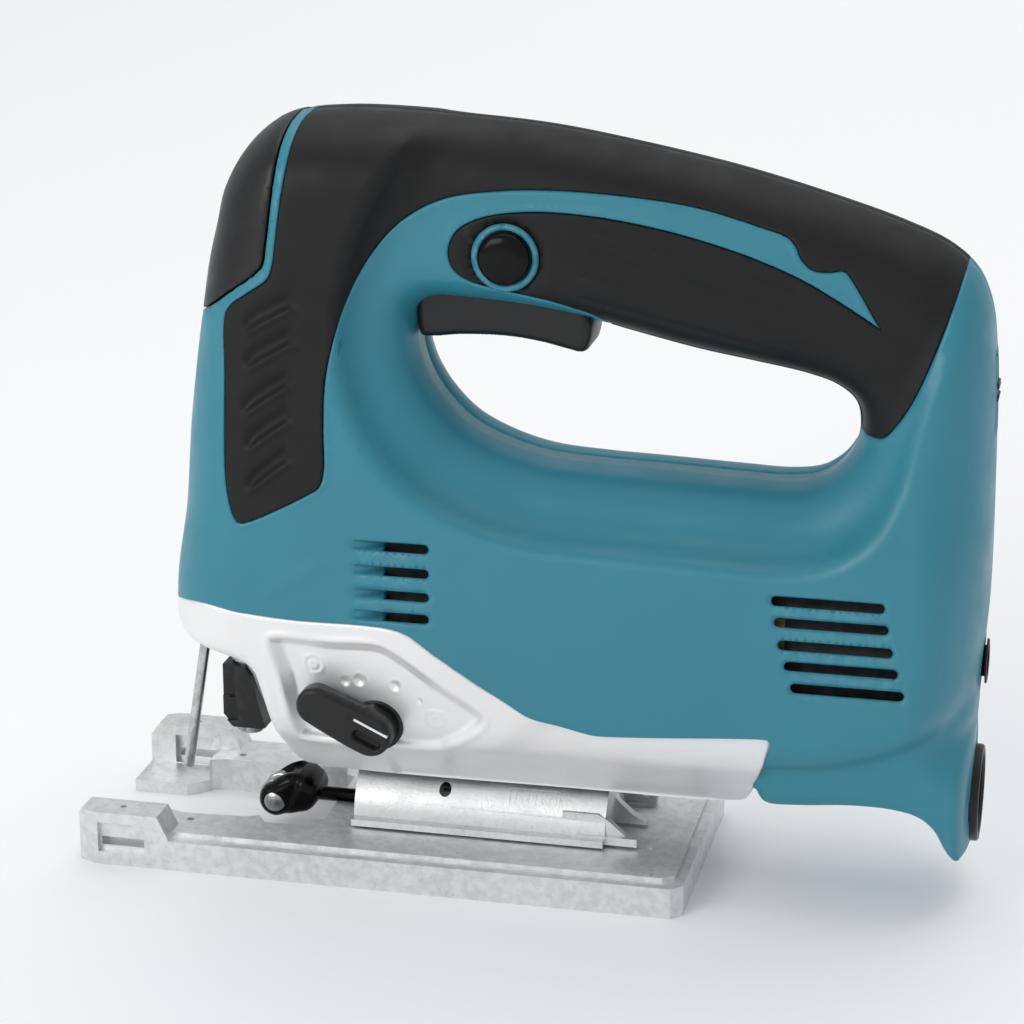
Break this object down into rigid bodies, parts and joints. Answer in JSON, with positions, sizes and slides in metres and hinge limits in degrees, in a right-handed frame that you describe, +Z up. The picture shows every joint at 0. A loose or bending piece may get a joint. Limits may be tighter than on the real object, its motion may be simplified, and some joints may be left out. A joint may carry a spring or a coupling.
{
  "type": "jigsaw power tool",
  "caption": "Barrel-bodied electric jigsaw with D handle, soft grip, cast gear housing, tool opener, orbital selector, roller guide and tilting cast base plate.",
  "frame": {"origin": "middle of the sole of the base plate, under the middle of the overall box", "axes": "+X towards the rear, +Y to the tool's right side, +Z up; the nose points to -X"},
  "size_m": [0.246, 0.076, 0.208],
  "materials": {
    "teal_shell": "satin",
    "soft_grip": "matt",
    "black_plastic": "satin",
    "gloss_black": "gloss",
    "silver_casting": "satin",
    "cast_aluminium": "as cast",
    "steel": "ground",
    "iron": "laminated",
    "bronze": "sintered",
    "copper": "turned",
    "carbon": "matt"
  },
  "bodies": {
    "housing": {"housing_left": "teal_shell", "housing_right": "teal_shell", "grip_left": "soft_grip", "grip_right": "soft_grip", "opener_pin": "steel", "gear_housing": "silver_casting", "finger_guard": "steel", "plunger_bush_lower": "bronze", "plunger_bush_upper": "bronze", "gear_pin": "steel", "bearing_plate": "cast_aluminium", "bearing_front": "steel", "bearing_rear": "steel", "field_stator": "iron", "brush_holder_left": "bronze", "brush_holder_right": "bronze", "carbon_brush_left": "carbon", "carbon_brush_right": "carbon", "switch_module": "black_plastic", "speed_controller": "black_plastic", "cord_inlet": "soft_grip", "dust_port": "black_plastic", "gear_case_screw_1": "steel", "gear_case_screw_2": "steel", "housing_screw_1": "steel", "housing_screw_2": "steel", "housing_screw_3": "steel", "housing_screw_4": "steel", "housing_screw_5": "steel", "housing_screw_6": "steel"},
    "opener": {"tool_opener": "black_plastic"},
    "plunger_unit": {"plunger": "steel", "blade_clamp": "steel"},
    "collar": {"clamp_collar": "black_plastic"},
    "counterweight_unit": {"counterweight": "iron"},
    "rotor": {"armature": "iron", "pinion": "steel", "commutator": "copper", "cooling_fan": "black_plastic"},
    "crank": {"crank_gear": "iron", "crank_pin": "steel"},
    "selector": {"orbit_selector": "black_plastic"},
    "roller_arm": {"roller_holder": "black_plastic", "roller_pin": "steel"},
    "roller": {"blade_roller": "steel"},
    "trigger_unit": {"trigger": "black_plastic"},
    "lock": {"lock_button": "gloss_black"},
    "dial": {"speed_dial": "black_plastic"},
    "base": {"base_plate": "cast_aluminium", "bevel_saddle": "cast_aluminium", "base_clamp_block": "cast_aluminium", "base_bolt": "steel"}
  },
  "joints": [
    {"name": "base_tilt", "type": "hinge", "parent": "housing", "child": "base", "pos_m": [-0.005, 0, 0.0105], "axis": [1, 0, 0], "range_deg": [-45, 45]},
    {"name": "plunger_stroke", "type": "slide", "parent": "housing", "child": "plunger_unit", "axis": [0, 0, 1], "range_m": [0, 0.026]},
    {"name": "counterweight_slide", "type": "slide", "parent": "housing", "child": "counterweight_unit", "axis": [0, 0, 1], "range_m": [-0.026, 0]},
    {"name": "opener_swing", "type": "hinge", "parent": "housing", "child": "opener", "pos_m": [-0.0686, 0.0212, 0.185], "axis": [0, 0, -1], "range_deg": [0, 60]},
    {"name": "clamp_collar_turn", "type": "hinge", "parent": "plunger_unit", "child": "collar", "pos_m": [-0.0825, 0, 0.04], "axis": [0, 0, 1], "range_deg": [0, 30]},
    {"name": "armature_spin", "type": "hinge", "parent": "housing", "child": "rotor", "pos_m": [0.025, 0, 0.077], "axis": [1, 0, 0], "continuous": true},
    {"name": "crank_gear_spin", "type": "hinge", "parent": "housing", "child": "crank", "pos_m": [-0.047, 0, 0.10535], "axis": [1, 0, 0], "continuous": true},
    {"name": "orbit_selector_turn", "type": "hinge", "parent": "housing", "child": "selector", "pos_m": [-0.0376, -0.028, 0.0444], "axis": [0, 1, 0], "range_deg": [0, 105]},
    {"name": "orbit_push", "type": "slide", "parent": "housing", "child": "roller_arm", "axis": [-1, 0, 0], "range_m": [0, 0.002], "stiffness_N_per_m": 400, "springref_m": -0.001},
    {"name": "roller_spin", "type": "hinge", "parent": "roller_arm", "child": "roller", "pos_m": [-0.0741, 0, 0.0096], "axis": [0, 1, 0], "continuous": true},
    {"name": "trigger_press", "type": "hinge", "parent": "housing", "child": "trigger_unit", "pos_m": [-0.027, 0, 0.161], "axis": [0, -1, 0], "range_deg": [0, 5], "stiffness_Nm_per_rad": 1, "springref_deg": -11.46},
    {"name": "lock_button_press", "type": "slide", "parent": "housing", "child": "lock", "axis": [0, 1, 0], "range_m": [0, 0.003], "stiffness_N_per_m": 400, "springref_m": -0.002},
    {"name": "speed_dial_turn", "type": "hinge", "parent": "housing", "child": "dial", "pos_m": [0.1116, 0, 0.1405], "axis": [0, 1, 0], "range_deg": [0, 270]}
  ],
  "couplings": [
    {"joint": "counterweight_slide", "follows": "plunger_stroke", "ratio": -1},
    {"joint": "clamp_collar_turn", "follows": "opener_swing", "ratio": 0.5},
    {"joint": "crank_gear_spin", "follows": "armature_spin", "ratio": -0.17391}
  ]
}
